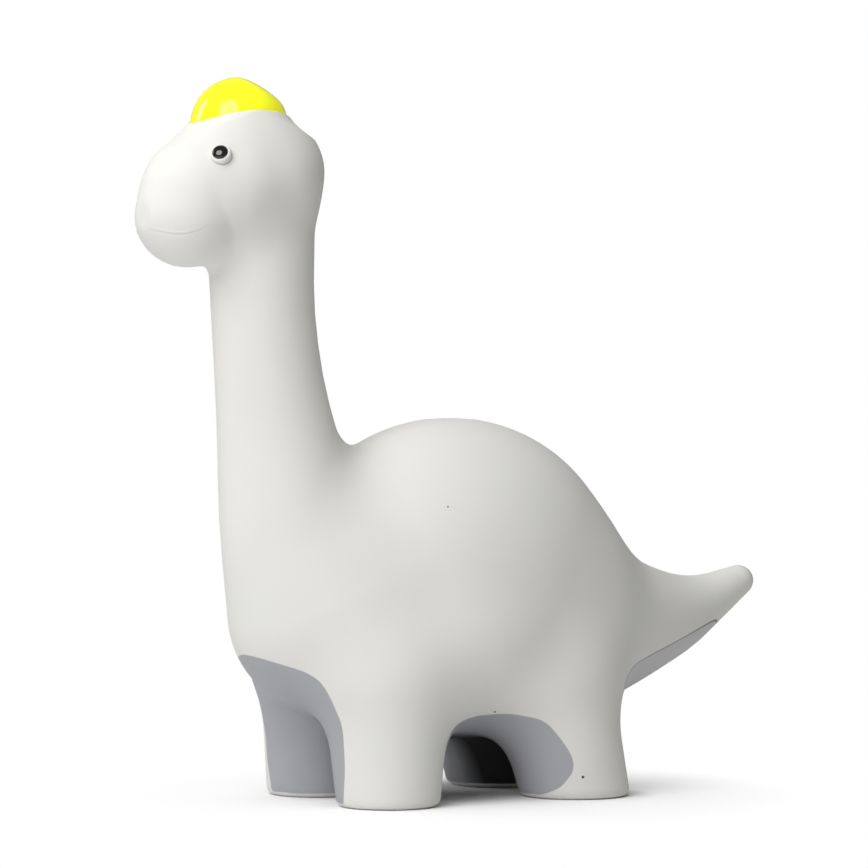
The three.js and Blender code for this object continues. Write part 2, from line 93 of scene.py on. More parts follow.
SKULL_RADIUS, SKULL_BACK, SKULL_UP = 16.5 * MM, 0.4 * MM, 12 * MM
CROWN_RADIUS, CROWN_UP = 16.7 * MM, 18.5 * MM
HEAD_WIDTH_SHARE = 1.15
BALL_FORWARD = 6.5 * MM
TAIL_REACH = 99.5 * MM
TAIL_TIP_HEIGHT = 58 * MM
TAIL_ROOT_RADIUS = 28.2 * MM
TAIL_BACK_SHARES = (0.335, 0.55, 0.724, 0.864, 1)
TAIL_UP_SHARES = (0.82, 0.81, 0.83, 0.895, 1)
TAIL_GIRTH_SHARES = (1, 0.69, 0.455, 0.28, 0.16)
FOOT_SPREAD, HIP_SPREAD, HIP_HEIGHT = 20.5 * MM, 18.5 * MM, 30 * MM
FRONT_FOOT_RADIUS, FRONT_FOOT_FORWARD = 14 * MM, 29.5 * MM
FRONT_HIP_RADIUS, FRONT_HIP_FORWARD = 17 * MM, 29 * MM
REAR_FOOT_RADIUS, REAR_FOOT_BACK = 15 * MM, 30.5 * MM
REAR_HIP_RADIUS, REAR_HIP_BACK = 17 * MM, 24 * MM
FLANK_BLEND, NECK_ROOT_BLEND, JAW_BLEND = 8 * MM, 13 * MM, 6 * MM
CROWN_BLEND, TAIL_BLEND = 5 * MM, 14 * MM
HIP_BLEND, INNER_HIP_BLEND = 14 * MM, 6 * MM
STATION_LINKS = 3

# The cuts in the skin
CUP_CLEARANCE = 0.25 * MM
MOUTH_RADIUS, MOUTH_LIP = 7 * MM, 2.2 * MM
POCKET_CLEARANCE = 0.3 * MM
EYE_FORWARD, EYE_UP = 19.4 * MM, 15.2 * MM
EYE_TURN = (0, -0.28, 0.15)
EYE_RADIUS, EYE_SEAT_DEPTH = 2.9 * MM, 1.2 * MM
EYE_RISE, EYE_EDGE_RISE = 1.3 * MM, 0.6 * MM
PUPIL_RADIUS, PUPIL_SINK, PUPIL_RISE = 2.1 * MM, 0.6 * MM, 1 * MM


def middle_of(node):
    low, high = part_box(node)
    return (low + high) / 2


# Places that the solids in model.glb give
BALL_CENTRE = middle_of("crown_ball")
BALL_RADIUS = (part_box("crown_ball")[1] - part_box("crown_ball")[0]).z / 2
NECK_TOP_Y = -NECK_FORWARD_SHARES[-1] * NECK_REACH
FEET_MIDDLE_Y = BALL_CENTRE.y - (NECK_TOP_Y - BALL_FORWARD)
FEET_MIDDLE = Vector((0, FEET_MIDDLE_Y, 0))
FEET_ORIGIN = np.array(FEET_MIDDLE)
SQUEAKER_AXIS = middle_of("squeaker_housing").xy.to_3d()
SQUEAKER_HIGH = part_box("squeaker_housing")[1]


def number(name, description, default, **limits):
    return bpy.props.FloatProperty(name=name, description=description, default=default, **limits)


def length(name, description, default):
    return number(name, description, default, unit="LENGTH")


def tint(name, description, default):
    return bpy.props.FloatVectorProperty(
        name=name, description=description, subtype="COLOR", size=3, default=default)


class SkinSettings(bpy.types.PropertyGroup):
    mesh_step: length("Mesh Step", "Edge length of the skin's mesh", 1.15 * MM)
    sole_rounding: length("Sole Rounding", "How softly a leg turns into its sole", 2.4 * MM)
    lip_height: length(
        "Lip Height", "How far the cup's lip stands above the ball's middle at the sides", 3.4 * MM)
    smile_depth: length(
        "Smile Depth", "Height of the smile's upper lip and depth of the groove below", 0.13 * MM)
    patch_depth: length(
        "Tail Patch Depth", "How deep the painted patch under the tail is sunk", 0.4 * MM)
    rubber_colour: tint("Rubber", "Colour of the bare rubber", (0.80, 0.787, 0.748))
    paint_colour: tint("Paint", "Colour of the brushed paint below", (0.42, 0.425, 0.453))
    # The belly colour is painted shade: near black, it darkens the strip along the middle of the underside
    # where shadow falls between the legs
    painted_shade_colour: tint(
        "Belly", "Colour of the dark underside between the rear legs", (0.03, 0.031, 0.034))
    tail_paint_colour: tint(
        "Tail Paint", "Colour of the thinner paint under the tail", (0.60, 0.59, 0.60))


class BallSettings(bpy.types.PropertyGroup):
    colour: tint("Ball", "Colour of the ball", (0.94, 0.95, 0.02))
    # The glow is painted light: an emission that brightens the ball at a fixed strength whatever light falls
    # on it
    painted_glow: number("Glow", "How much light the fluorescent dye gives back", 0.2, min=0, max=1)
    flat_share: number(
        "Flat", "Height of the ball's worn flat, as a share of its radius", 0.945, min=0.5, max=1)


class EyeSettings(bpy.types.PropertyGroup):
    bead_colour: tint("Bead", "Colour of the eye's bead", (0.83, 0.82, 0.79))
    pupil_colour: tint("Pupil", "Colour of the pupil", (0.002, 0.002, 0.002))


class SqueakerSettings(bpy.types.PropertyGroup):
    plastic_colour: tint("Plastic", "Colour of the squeaker's plastic", (0.78, 0.78, 0.75))
    brass_colour: tint("Brass", "Colour of the reed", (0.58, 0.37, 0.1))
    edge_rounding: length("Edge Rounding", "Radius of the moulded edges", 0.12 * MM)


class FillingSettings(bpy.types.PropertyGroup):
    tuft_depth: length("Tuft Depth", "Depth of the hollows between tufts of fibre", 1.2 * MM)
    colour: tint("Fibre", "Colour of the fibre", (0.88, 0.87, 0.84))


class StageSettings(bpy.types.PropertyGroup):
    lens: number("Lens", "Focal length in millimetres", 153.9)
    camera_distance: length("Camera Distance", "From the lens to the middle of the feet", 1.039)
    camera_height: length("Camera Height", "Height of the lens above the floor", 100.9 * MM)
    camera_offset: length(
        "Camera Offset", "How far the lens stands left of the feet's middle", 2.97 * MM)
    camera_azimuth: number(
        "Camera Azimuth", "Angle of the camera round the toy", math.radians(60), subtype="ANGLE")
    key_power: number("Key Power", "Power of the lamp beside the head, in watts", 1.9)
    top_power: number("Top Power", "Power of the lamp above, in watts", 5)
    front_power: number("Front Power", "Power of the lamp that the eyes mirror, in watts", 6.3)
    side_power: number("Side Power", "Power of the lamp before the toy, in watts", 0.8)
    ambient: number("Ambient", "Strength of the room's light", 0.2)


# Distance functions in arrays: one row a point, one value a row
def mirrored(points):
    folded = points.copy()
    folded[:, 0] = np.abs(folded[:, 0])
    return folded


def soft_union(a, b, blend):
    mix = np.clip(0.5 + 0.5 * (b - a) / blend, 0, 1)
    return b + (a - b) * mix - blend * mix * (1 - mix)


def to_ball(points, centre, radius):
    return np.linalg.norm(points - centre, axis=1) - radius


def to_egg(points, centre, radii):
    local = points - centre
    near = np.linalg.norm(local / radii, axis=1)
    slope = np.linalg.norm(local / np.square(radii), axis=1)
    return near * (near - 1) / np.maximum(slope, TINY)


def to_taper(points, start, end):
    """Distance to the ball at start, the ball at end and the cone that joins them."""
    (start_centre, start_radius), (end_centre, end_radius) = start, end
    axis = np.array(end_centre) - start_centre
    offset = points - start_centre
    length_squared = axis @ axis
    drop = start_radius - end_radius
    slant = length_squared - drop * drop
    along = offset @ axis
    past = along - length_squared
    across = np.square(offset * length_squared - np.outer(along, axis)).sum(axis=1)
    side = np.sign(drop) * drop * drop * across
    on_end = np.sign(past) * slant * past * past * length_squared > side
    on_start = np.sign(along) * slant * along * along * length_squared < side
    to_end = np.sqrt(across + past * past * length_squared) / length_squared - end_radius
    to_start = np.sqrt(across + along * along * length_squared) / length_squared - start_radius
    to_cone = (np.sqrt(across * slant / length_squared) + along * drop) / length_squared - start_radius
    return np.where(on_end, to_end, np.where(on_start, to_start, to_cone))


def to_chain(points, stations):
    links = [to_taper(points, start, end) for start, end in zip(stations, stations[1:])]
    return np.min(links, axis=0)


def station(y, z, radius, x=0.0):
    return np.array((x, y, z)), radius


def smoothed(stations):
    """More stations, on the smooth curve through a few given ones."""
    rows = np.array([(*centre, radius) for centre, radius in stations])
    padded = np.vstack((2 * rows[0] - rows[1], rows, 2 * rows[-1] - rows[-2]))
    smooth = []
    for before, start, end, after in zip(padded, padded[1:], padded[2:], padded[3:]):
        leaving, arriving = (end - before) / 2, (after - start) / 2
        for link in range(STATION_LINKS):
            share = link / STATION_LINKS
            bend = 3 * (end - start) - 2 * leaving - arriving
            twist = 2 * (start - end) + leaving + arriving
            smooth.append(start + share * (leaving + share * (bend + share * twist)))
    smooth.append(rows[-1])
    return [(row[:3], row[3]) for row in smooth]


NECK_STATIONS = smoothed([
    station(-forward * NECK_REACH, up * NECK_HEIGHT, girth * NECK_RADIUS)
    for forward, up, girth in zip(NECK_FORWARD_SHARES, NECK_UP_SHARES, NECK_GIRTH_SHARES)])
TAIL_STATIONS = smoothed([
    station(back * TAIL_REACH, up * TAIL_TIP_HEIGHT, girth * TAIL_ROOT_RADIUS)
    for back, up, girth in zip(TAIL_BACK_SHARES, TAIL_UP_SHARES, TAIL_GIRTH_SHARES)])
HEAD_STATIONS = smoothed([
    station(NECK_TOP_Y - CHIN_FORWARD, NECK_HEIGHT - CHIN_DOWN, CHIN_RADIUS),
    station(NECK_TOP_Y - SNOUT_FORWARD, NECK_HEIGHT + SNOUT_UP, SNOUT_RADIUS),
    station(NECK_TOP_Y - CHEEK_FORWARD, NECK_HEIGHT + CHEEK_UP, CHEEK_RADIUS),
    station(NECK_TOP_Y + SKULL_BACK, NECK_HEIGHT + SKULL_UP, SKULL_RADIUS)])
# The jaw's line, which fills the hollow between snout and cheek
JAW_INSET, JAW_LINE_BLEND = 1.3 * MM, 3 * MM
JAW = (station(NECK_TOP_Y - CHIN_FORWARD, NECK_HEIGHT - CHIN_DOWN, CHIN_RADIUS - JAW_INSET),
       station(NECK_TOP_Y - CHEEK_FORWARD, NECK_HEIGHT + CHEEK_UP, CHEEK_RADIUS))
FRONT_LEG = (station(-FRONT_HIP_FORWARD, HIP_HEIGHT, FRONT_HIP_RADIUS, HIP_SPREAD),
             station(-FRONT_FOOT_FORWARD, 0, FRONT_FOOT_RADIUS, FOOT_SPREAD))
REAR_LEG = (station(REAR_HIP_BACK, HIP_HEIGHT, REAR_HIP_RADIUS, HIP_SPREAD),
            station(REAR_FOOT_BACK, 0, REAR_FOOT_RADIUS, FOOT_SPREAD))


def to_body(points, jaw_filled=True):
    """Distance from points measured from the middle of the feet to the body's blended forms."""
    folded = mirrored(points)
    trunk_radii = np.array((TRUNK_WIDTH, TRUNK_LENGTH, TRUNK_HEIGHT)) / 2
    flank_radii = np.array((FLANK_WIDTH, FLANK_LENGTH, FLANK_HEIGHT)) / 2
    crown = (0, NECK_TOP_Y - BALL_FORWARD, NECK_HEIGHT + CROWN_UP)
    trunk = to_egg(folded, (0, TRUNK_BACK, BELLY_CLEARANCE + TRUNK_HEIGHT / 2), trunk_radii)
    flanks = to_egg(folded, (0, -FLANK_FORWARD, FLANK_UP), flank_radii)
    slim = folded / np.array((HEAD_WIDTH_SHARE, 1, 1))
    head = to_chain(slim, HEAD_STATIONS)
    if jaw_filled:
        head = soft_union(head, to_taper(slim, *JAW), JAW_LINE_BLEND)
    head = soft_union(head, to_ball(folded, crown, CROWN_RADIUS), CROWN_BLEND)
    legs = np.minimum(to_taper(folded, *FRONT_LEG), to_taper(folded, *REAR_LEG))
    distance = soft_union(trunk, flanks, FLANK_BLEND)
    distance = soft_union(distance, to_chain(folded, NECK_STATIONS), NECK_ROOT_BLEND)
    distance = soft_union(distance, head, JAW_BLEND)
    distance = soft_union(distance, to_chain(folded, TAIL_STATIONS), TAIL_BLEND)
    outward_share = np.minimum(folded[:, 0] / FOOT_SPREAD, 1)
    return soft_union(distance, legs, INNER_HIP_BLEND + (HIP_BLEND - INNER_HIP_BLEND) * outward_share)


SLOPE_PROBE = 0.02 * MM


def slope_of(distance, points, here):
    """How fast a distance function grows along each axis from its values here."""
    slope = np.empty_like(points)
    for axis in range(3):
        step = np.zeros(3)
        step[axis] = SLOPE_PROBE
        slope[:, axis] = (distance(points + step) - here) / SLOPE_PROBE
    return slope


EYE_HALVINGS = 40


def eye_place(side):
    """The eye's place on the head, measured from the middle of the feet, and where it looks."""
    inside, outside = 0.0, SNOUT_RADIUS + SKULL_RADIUS
    point = np.array([[0.0, NECK_TOP_Y - EYE_FORWARD, NECK_HEIGHT + EYE_UP]])
    for _ in range(EYE_HALVINGS):
        point[0, 0] = (inside + outside) / 2
        if to_body(point)[0] < 0:
            inside = point[0, 0]
        else:
            outside = point[0, 0]
    looks = Vector(slope_of(to_body, point, to_body(point))[0]).normalized() + Vector(EYE_TURN)
    place, looks = Vector(point[0]), looks.normalized()
    place.x *= side
    looks.x *= side
    return place + FEET_MIDDLE, looks


EYES = {"left": eye_place(1), "right": eye_place(-1)}


def rounded_outline(*corners):
    """A closed outline on the smooth curve through its corners, given in millimetres."""
    closed = [(np.array((*corner, 0)) * MM, 0) for corner in (corners[-1], *corners, *corners[:2])]
    return np.array([centre[:2] for centre, _ in smoothed(closed)])[STATION_LINKS:-STATION_LINKS - 1]


# Outlines of the painted zones: the chest's from the front, the arch's and the tail's from the side
CHEST_OUTLINE = rounded_outline(
    (-40, -5), (-22.5, 18), (-21.5, 32), (-12.5, 38.8), (0, 41), (12.5, 38.8), (19.5, 35.4), (21.7, 31.7),
    (22.6, 26.3), (23.2, 22.2), (22.8, 16.8), (22.6, 10.6), (21.2, 5.6), (19, 0), (17, -5))
ARCH_OUTLINE = rounded_outline(
    (-16, -5), (-16.5, 8), (-16, 15), (-14.5, 19.5), (-11.3, 21.9), (-5, 23.6), (0, 24), (4.7, 24.1),
    (9.4, 23.3), (13.2, 21.9), (16, 19.4), (18.9, 15.5), (20.8, 12.1), (21.3, 9.6), (20.8, 7.2),
    (18.9, 3.9), (16.9, 2.2), (14.6, 0), (12, -5))
TAIL_OUTLINE = rounded_outline(
    (43.2, 29.6), (46.4, 34), (50.7, 36), (56.6, 38), (62, 39.6), (67.7, 41.3), (73.1, 43), (81, 45.5),
    (85.6, 46.8), (88.2, 46.4), (89.5, 42), (90, 30), (75, 20), (50, 22))
INNER_PAINT_WIDTH, INNER_PAINT_HEIGHT = 20.5 * MM, 23.5 * MM
BARE_SOLE_RIM = 1.3 * MM
PAINT_BLEND = 3 * MM
EDGE_BLEND = PAINT_BLEND / 3


def inside_outline(places, outline):
    """How far inside a closed outline each place lies, less than zero outside it."""
    nearest = np.full(len(places), np.inf)
    inside = np.zeros(len(places), dtype=bool)
    for start, end in zip(outline, np.roll(outline, -1, axis=0)):
        side = end - start
        offset = places - start
        share = np.clip(offset @ side / (side @ side), 0, 1)
        nearest = np.minimum(nearest, np.linalg.norm(offset - share[:, None] * side, axis=1))
        crosses = (start[1] > places[:, 1]) != (end[1] > places[:, 1])
        rise = side[1] if side[1] else 1
        inside ^= crosses & (offset[:, 0] < offset[:, 1] * side[0] / rise)
    return np.where(inside, nearest, -nearest)


def tail_paint(points):
    return inside_outline(points[:, 1:], TAIL_OUTLINE)


def paint_inside(points):
    """How far inside the painted zones each point lies."""
    across, y, z = np.abs(points[:, 0]), points[:, 1], points[:, 2]
    chest = inside_outline(np.column_stack((across, z)), CHEST_OUTLINE)
    chest = np.minimum(chest, -FRONT_FOOT_FORWARD - y)
    inner = np.minimum(INNER_PAINT_WIDTH - across, INNER_PAINT_HEIGHT - z)
    arch = inside_outline(points[:, 1:], ARCH_OUTLINE)
    outside = soft_union(-chest, -inner, PAINT_BLEND)
    outside = soft_union(outside, -arch, EDGE_BLEND)
    outside = soft_union(outside, -tail_paint(points), EDGE_BLEND)
    return np.minimum(-outside, z - BARE_SOLE_RIM)


# A strip of painted shade along the middle of the underside, darkening it where shadow falls between the legs
PAINTED_SHADE_WIDTH, PAINTED_SHADE_HEIGHT, PAINTED_SHADE_FADE = 12.5 * MM, 24 * MM, 3 * MM
PAINTED_SHADE_FRONT = -12 * MM


def belly_inside(points):
    """How far inside the strip of painted shade along the middle of the underside each point lies."""
    strip = np.minimum(PAINTED_SHADE_WIDTH - np.abs(points[:, 0]), PAINTED_SHADE_HEIGHT - points[:, 2])
    return np.minimum(strip, points[:, 1] - PAINTED_SHADE_FRONT)


# The smile, a low ridge over a groove on each side of the snout
SMILE_MIDDLE, SMILE_LOW, SMILE_RISE = -88 * MM, 154.1 * MM, 0.06 / MM
SMILE_FROM, SMILE_FULL = 3.2 * MM, 6 * MM
SMILE_FADES, SMILE_ENDS = -86 * MM, -81 * MM
SMILE_WIDTH = 0.35 * MM
SMILE_GAIN = 2.3


def above_smile(points):
    return points[:, 2] - SMILE_LOW - SMILE_RISE * (points[:, 1] - SMILE_MIDDLE) ** 2


def smile_sink(points):
    """1 in the groove of the smile, -1 on the ridge over it, fading to 0 past its ends."""
    height = above_smile(points) / SMILE_WIDTH
    begins = np.clip((np.abs(points[:, 0]) - SMILE_FROM) / (SMILE_FULL - SMILE_FROM), 0, 1)
    ends = np.clip((SMILE_ENDS - points[:, 1]) / (SMILE_ENDS - SMILE_FADES), 0, 1)
    return -SMILE_GAIN * height * np.exp(-height ** 2) * begins * ends


PATCH_EDGE = 0.35 * MM
PATCH_FADES = (46 * MM, 54 * MM, 72 * MM, 84 * MM)


def patch_share(points):
    """1 inside the sunk patch under the tail, 0 outside it."""
    share = np.interp(points[:, 1], PATCH_FADES, (0, 1, 1, 0))
    close = share > 0
    edge = np.clip(0.5 + tail_paint(points[close]) / (2 * PATCH_EDGE), 0, 1)
    share[close] *= edge * edge * (3 - 2 * edge)
    return share


def to_outside(points, settings):
    """Distance to the skin's outside, before its cup, its mouth and its eye seats are cut."""
    local = points - FEET_ORIGIN
    distance = to_body(local)
    distance = distance + settings.smile_depth * smile_sink(local)
    distance = distance + settings.patch_depth * patch_share(local)
    return -soft_union(-distance, points[:, UP], settings.sole_rounding)


# Mesh helpers
WELD_REACH = 0.001 * MM
SHARP_ANGLE = math.radians(40)


def merged_copy(node):
    """A bmesh of a solid's mesh, with its loose triangles joined."""
    bm = bmesh.new()
    bm.from_mesh(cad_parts[node].data)
    bmesh.ops.remove_doubles(bm, verts=bm.verts[:], dist=WELD_REACH)
    return bm


def added(name, data):
    """A new object in the scene, at the origin."""
    thing = bpy.data.objects.new(name, data)
    bpy.context.scene.collection.objects.link(thing)
    return thing


def mesh_of(bm, name):
    mesh = bpy.data.meshes.new(name)
    bm.to_mesh(mesh)
    bm.free()
    return mesh


def held(bm):
    """An object that holds a bmesh while a modifier works."""
    return added("held", mesh_of(bm, "held"))


def let_go(holder):
    mesh = holder.data
    bpy.data.objects.remove(holder)
    bpy.data.meshes.remove(mesh)


def modified(bm, kind, **values):
    """The bmesh that a modifier makes of one."""
    holder = held(bm)
    modifier = holder.modifiers.new("Shaping", kind)
    for key, value in values.items():
        setattr(modifier, key, value)
    graph = bpy.context.evaluated_depsgraph_get()
    result = bmesh.new()
    result.from_mesh(holder.evaluated_get(graph).to_mesh())
    let_go(holder)
    return result


def remeshed(bm, step):
    """The same surface in even quads."""
    return modified(bm, "REMESH", mode="VOXEL", voxel_size=step)


def joined(bms):
    """One bmesh with the islands of several."""
    first, *others = bms
    for bm in others:
        holder = held(bm)
        first.from_mesh(holder.data)
        let_go(holder)
    return first


def cut(bm, cutters):
    """A solid less the solids of the cutters."""
    cutter = held(joined(cutters))
    result = modified(bm, "BOOLEAN", operation="DIFFERENCE", solver="EXACT", object=cutter)
    let_go(cutter)
    return result


TURN_STEPS = 64


def turned(profile, place, looks=UPWARDS, steps=TURN_STEPS):
    """A profile, each point a distance from the axis and a height, spun into a solid at its place."""
    bm = bmesh.new()
    verts = [bm.verts.new((radius, 0, height)) for radius, height in profile]
    edges = [bm.edges.new(pair) for pair in zip(verts, verts[1:])]
    bmesh.ops.spin(bm, geom=verts + edges, cent=(0, 0, 0), axis=(0, 0, 1), angle=2 * math.pi,
                   steps=steps, use_merge=True)
    bmesh.ops.remove_doubles(bm, verts=bm.verts[:], dist=WELD_REACH)
    bmesh.ops.recalc_face_normals(bm, faces=bm.faces[:])
    turn = UPWARDS.rotation_difference(looks)
    bmesh.ops.rotate(bm, verts=bm.verts[:], cent=(0, 0, 0), matrix=turn.to_matrix())
    bmesh.ops.translate(bm, verts=bm.verts[:], vec=place)
    return bm


def arc(middle, radius, start, end, steps):
    """Points of an arc in a turned profile, between two angles in degrees."""
    angles = [math.radians(start + (end - start) * step / steps) for step in range(steps + 1)]
    return [(middle[0] + radius * math.cos(a), middle[1] + radius * math.sin(a)) for a in angles]


def evened(bm, verts):
    bmesh.ops.smooth_vert(bm, verts=verts, factor=0.5, use_axis_x=True, use_axis_y=True, use_axis_z=True)


def points_of(verts):
    return np.array([vert.co for vert in verts])


LEAST_STEEPNESS = 0.05
LAST_PASSES = 3


def settle(verts, distance, passes=2, limit=0.6 * MM):
    """Moves vertices onto the surface where a distance function is zero."""
    points = points_of(verts)
    for _ in range(passes):
        here = distance(points)
        slope = slope_of(distance, points, here)
        steepness = np.maximum(np.square(slope).sum(axis=1), LEAST_STEEPNESS)
        move = -slope * (here / steepness)[:, None]
        reach = np.linalg.norm(move, axis=1)
        move *= np.minimum(1, limit / np.maximum(reach, TINY))[:, None]
        points += move
    for vert, point in zip(verts, points):
        vert.co = point


def finished(bm, name, body, nodes, material, smooth_angle=None):
    """A piece from a bmesh, riding on its body and standing for its solids."""
    for face in bm.faces:
        face.smooth = True
    mesh = mesh_of(bm, name)
    if smooth_angle is not None:
        mesh.set_sharp_from_angle(angle=smooth_angle)
    mesh.materials.append(material)
    piece = added(name, mesh)
    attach(piece, body)
    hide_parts(*nodes)
    return piece


# Material helpers
def set_inputs(made, inputs):
    for name, value in inputs.items():
        made.inputs[name.replace("_", " ")].default_value = value


def node(tree, kind, **inputs):
    made = tree.nodes.new(kind)
    set_inputs(made, inputs)
    return made


def math_node(tree, operation, first, second=None):
    made = node(tree, "ShaderNodeMath")
    made.operation = operation
    for socket, value in zip(made.inputs, (first, second)):
        if isinstance(value, bpy.types.NodeSocket):
            tree.links.new(value, socket)
        elif value is not None:
            socket.default_value = value
    return made.outputs["Value"]


def mixed(tree, factor, first, second):
    """A colour between two, each a socket or a plain colour."""
    made = node(tree, "ShaderNodeMix")
    made.data_type = "RGBA"
    for name, value in (("Factor_Float", factor), ("A_Color", first), ("B_Color", second)):
        socket = next(s for s in made.inputs if s.identifier == name)
        if isinstance(value, bpy.types.NodeSocket):
            tree.links.new(value, socket)
        else:
            socket.default_value = value if name == "Factor_Float" else (*value, 1)
    return next(s for s in made.outputs if s.identifier == "Result_Color")


def map_range(tree, value, low, high, to_low=0.0, to_high=1.0):
    made = node(tree, "ShaderNodeMapRange", From_Min=low, From_Max=high, To_Min=to_low, To_Max=to_high)
    tree.links.new(value, made.inputs["Value"])
    return made.outputs["Result"]


def own_place(tree):
    """Each point's place in its own piece."""
    return node(tree, "ShaderNodeTexCoord").outputs["Object"]


def away_from(tree, place, centre):
    """How far each place is from a centre."""
    made = node(tree, "ShaderNodeVectorMath")
    made.operation = "DISTANCE"
    made.inputs[1].default_value = centre
    tree.links.new(place, made.inputs[0])
    return made.outputs["Value"]


def attribute(tree, name):
    made = node(tree, "ShaderNodeAttribute")
    made.attribute_name = name
    return made.outputs["Fac"]


def seen_directly(tree):
    """1 for the rays that the camera sees, straight or through something clear, 0 for all others."""
    path = node(tree, "ShaderNodeLightPath")
    return math_node(tree, "MAXIMUM", path.outputs["Is Camera Ray"], path.outputs["Is Transmission Ray"])


def grain_group():
    """Fine grain for bump and slow mottling for colour, both from the piece's own coordinates."""
    known = bpy.data.node_groups.get("Surface Grain")
    if known:
        return known
    group = bpy.data.node_groups.new("Surface Grain", "ShaderNodeTree")
    for name, default in (("Grain Scale", 1500.0), ("Mottle Scale", 40.0)):
        socket = group.interface.new_socket(name, in_out="INPUT", socket_type="NodeSocketFloat")
        socket.default_value = default
    for name in ("Grain", "Mottle"):
        group.interface.new_socket(name, in_out="OUTPUT", socket_type="NodeSocketFloat")
    given, result = node(group, "NodeGroupInput"), node(group, "NodeGroupOutput")
    place = own_place(group)
    for name, detail in (("Grain", 3.0), ("Mottle", 2.0)):
        texture = node(group, "ShaderNodeTexNoise", Detail=detail)
        group.links.new(place, texture.inputs["Vector"])
        group.links.new(given.outputs[f"{name} Scale"], texture.inputs["Scale"])
        group.links.new(texture.outputs["Fac"], result.inputs[name])
    return group


def surface_grain(tree, grain_scale, mottle_scale):
    made = node(tree, "ShaderNodeGroup")
    made.node_tree = grain_group()
    set_inputs(made, {"Grain Scale": grain_scale, "Mottle Scale": mottle_scale})
    return made.outputs["Grain"], made.outputs["Mottle"]


def new_material(name, **inputs):
    material = bpy.data.materials.new(name)
    material.use_nodes = True
    shader = material.node_tree.nodes["Principled BSDF"]
    set_inputs(shader, inputs)
    return material.node_tree, shader, material


def bump(tree, shader, height, distance, strength=1.0):
    made = node(tree, "ShaderNodeBump", Strength=strength, Distance=distance)
    tree.links.new(height, made.inputs["Height"])
    tree.links.new(made.outputs["Normal"], shader.inputs["Normal"])


def darker(colour, share):
    """A colour taken down by one share, or each channel by its own."""
    return tuple(np.multiply(colour, share))


# Small moulding flaws, each with its place from the middle of the feet and its radius
SPECKS = (
    (Vector((34.6, 23.9, 6.5)) * MM, 0.5 * MM),
    (Vector((26.4, 0.6, 24.8)) * MM, 0.4 * MM),
    (Vector((30.7, -16.8, 81.2)) * MM, 0.3 * MM),
)
# How much of a flaw is fully dark, and the dark colour of the flaws and of the painted shadow line round the
# tail patch
SPECK_CORE = 0.6
SPECK_AND_SHADOW_DARK = (0.07, 0.065, 0.06)
# The scales of each material's grain and mottling
RUBBER_GRAIN, BALL_GRAIN = (1400, 30), (60, 25)
PLASTIC_GRAIN, FIBRE_GRAIN = (2500, 90), (1800, 200)
RUBBER_MOTTLE, PAINT_MOTTLE = (0.35, 0.65), (0.3, 0.7)
COOLER = (0.965, 0.975, 0.985)
RUBBER_ROUGHNESS, PAINT_ROUGHNESS = 0.62, 0.5
# The paint's edge: the scale and reach of its wander and how soft it is, and the painted shadow line round
# the patch, a dark line of painted shade along the patch's sunk edge
WANDER_SCALE, WANDER, NOISE_RANGE = 110, 0.15 * MM, (0.2, 0.8)
EDGE_SOFTNESS, TAIL_EDGE_SOFTNESS = 0.1 * MM, 0.3 * MM
SHADOW_LINE_CORE, SHADOW_LINE_REACH, SHADOW_LINE_STRENGTH = 0.12 * MM, 0.32 * MM, 0.75


def rubber_material(settings):
    tree, shader, material = new_material(
        "matte rubber, painted below", Roughness=RUBBER_ROUGHNESS, Specular_IOR_Level=0.35)
    grain, mottle = surface_grain(tree, *RUBBER_GRAIN)
    place = own_place(tree)
    waver = node(tree, "ShaderNodeTexNoise", Scale=WANDER_SCALE, Detail=3)
    tree.links.new(place, waver.inputs["Vector"])
    wander = map_range(tree, waver.outputs["Fac"], *NOISE_RANGE, -WANDER, WANDER)
    inside = math_node(tree, "ADD", attribute(tree, "paint_inside"), wander)
    mask = map_range(tree, inside, -EDGE_SOFTNESS, EDGE_SOFTNESS)
    colour = rubber_colours(tree, settings, mask, mottle)
    for centre, radius in SPECKS:
        away = away_from(tree, place, centre + FEET_MIDDLE)
        dot = map_range(tree, away, radius * SPECK_CORE, radius, 1, 0)
        colour = mixed(tree, dot, colour, SPECK_AND_SHADOW_DARK)
    tree.links.new(colour, shader.inputs["Base Color"])
    roughness = map_range(tree, mask, 0, 1, RUBBER_ROUGHNESS, PAINT_ROUGHNESS)
    tree.links.new(roughness, shader.inputs["Roughness"])
    bump(tree, shader, math_node(tree, "ADD", grain, mask), distance=0.035 * MM, strength=0.6)
    return material


def rubber_colours(tree, settings, mask, mottle):
    """The rubber's colour, the brushed paint's where the mask is 1, a painted shadow line round the tail
    patch, and painted shade along the underside.
    """
    warm, painted = settings.rubber_colour[:], settings.paint_colour[:]
    rubber = mixed(tree, map_range(tree, mottle, *RUBBER_MOTTLE), warm, darker(warm, COOLER))
    brushed = mixed(tree, map_range(tree, mottle, *PAINT_MOTTLE), painted, darker(painted, 0.9))
    tail_edge = attribute(tree, "tail_inside")
    pale = map_range(tree, tail_edge, 0, TAIL_EDGE_SOFTNESS)
    brushed = mixed(tree, pale, brushed, settings.tail_paint_colour[:])
    colour = mixed(tree, mask, rubber, brushed)
    # A painted shadow line along the sunk edge of the patch under the tail
    line = map_range(tree, math_node(tree, "ABSOLUTE", tail_edge), SHADOW_LINE_CORE, SHADOW_LINE_REACH, SHADOW_LINE_STRENGTH, 0)
    colour = mixed(tree, line, colour, SPECK_AND_SHADOW_DARK)
    # Painted shade: the strip under the belly turns near black
    underside = map_range(tree, attribute(tree, "belly_inside"), -PAINTED_SHADE_FADE, PAINTED_SHADE_FADE)
    return mixed(tree, math_node(tree, "MULTIPLY", mask, underside), colour, settings.painted_shade_colour[:])


BALL_SHADE = (0.97, 1, 0.6)
BALL_LIGHT_REACH = (1, 1, 0.1)


